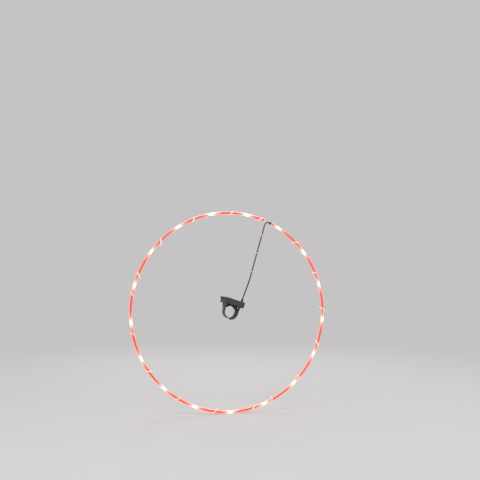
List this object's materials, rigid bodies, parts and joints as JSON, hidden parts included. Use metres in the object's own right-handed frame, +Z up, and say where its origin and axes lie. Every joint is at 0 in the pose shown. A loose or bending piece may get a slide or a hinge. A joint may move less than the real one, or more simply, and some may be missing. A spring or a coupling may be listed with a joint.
{
  "type": "spoke wheel light",
  "caption": "Ring of lamps in a clear tube, lashed to a bicycle wheel's spokes by cable ties, with a lead and a hinged battery pack strapped to the hub.",
  "frame": {"origin": "centre of the wheel, on the axle's line, in the middle of the hub strap", "axes": "+Y along the axle away from the viewer, +Z up, +X to the right; the ring lies in the XZ plane"},
  "size_m": [0.5395, 0.0554, 0.5394],
  "materials": {
    "clear_tube": "clear soft vinyl, lit red from inside",
    "lamp_resin": "clear cast resin, lit",
    "lamp_chip": "light chip, glowing",
    "copper_wire": "lacquered copper",
    "plug_plastic": "moulded, satin",
    "black_rubber": "soft, matte",
    "tie_nylon": "natural nylon, translucent",
    "lead_jacket": "soft vinyl jacket, satin",
    "wire_jacket": "thin vinyl jacket",
    "case_plastic": "moulded, fine spark texture",
    "bright_steel": "nickel plated",
    "red_fibre": "pressed fibre",
    "insert_brass": "turned",
    "cell_sleeve": "plain foil sleeve",
    "board_laminate": "solder mask",
    "chip_resin": "moulded resin, tinned legs",
    "chip_ceramic": "ceramic, tinned ends",
    "switch_plastic": "moulded",
    "button_rubber": "silicone, matte",
    "strap_web": "woven nylon webbing",
    "strap_loop": "brushed hook and loop"
  },
  "bodies": {
    "light": {"light_tube": "clear_tube", "led_lamps": "lamp_resin", "led_chips": "lamp_chip", "string_wires": "copper_wire", "tube_plug": "plug_plastic", "tube_gland": "black_rubber", "lead_grommet": "black_rubber", "hub_pad": "black_rubber", "spoke_ties": "tie_nylon", "lead_ties": "tie_nylon", "lead_cable": "lead_jacket", "lead_wires": "wire_jacket", "battery_wires": "wire_jacket", "case_body": "case_plastic", "deck_cover": "case_plastic", "cover_screws": "bright_steel", "hinge_pin": "bright_steel", "contact_springs": "bright_steel", "contact_plates": "bright_steel", "board_screws": "bright_steel", "screw_insert": "insert_brass", "battery_cells": "cell_sleeve", "circuit_board": "board_laminate", "controller_chip": "chip_resin", "chip_parts": "chip_ceramic", "tact_switch": "switch_plastic", "hub_strap": "strap_web", "strap_patch": "strap_loop"},
    "door": {"battery_door": "case_plastic", "door_seal": "black_rubber", "screw_washer": "red_fibre"},
    "screw": {"door_screw": "bright_steel"},
    "button": {"power_button": "button_rubber"},
    "plunger": {"switch_plunger": "switch_plastic"}
  },
  "joints": [
    {"name": "door_hinge", "type": "hinge", "parent": "light", "child": "door", "pos_m": [-0.01854, 0, 0.03938], "axis": [0, -1, 0], "range_deg": [0, 110]},
    {"name": "door_screw_turn", "type": "hinge", "parent": "door", "child": "screw", "pos_m": [0.02177, 0, 0.02849], "axis": [0.309, 0, 0.9511], "continuous": true},
    {"name": "power_button_slide", "type": "slide", "parent": "light", "child": "button", "axis": [-0.309, 0, -0.9511], "range_m": [0, 0.0007], "stiffness_N_per_m": 400},
    {"name": "switch_plunger_slide", "type": "slide", "parent": "light", "child": "plunger", "axis": [-0.309, 0, -0.9511], "range_m": [0, 0.0007]}
  ],
  "couplings": [
    {"joint": "switch_plunger_slide", "follows": "power_button_slide", "ratio": 1}
  ]
}
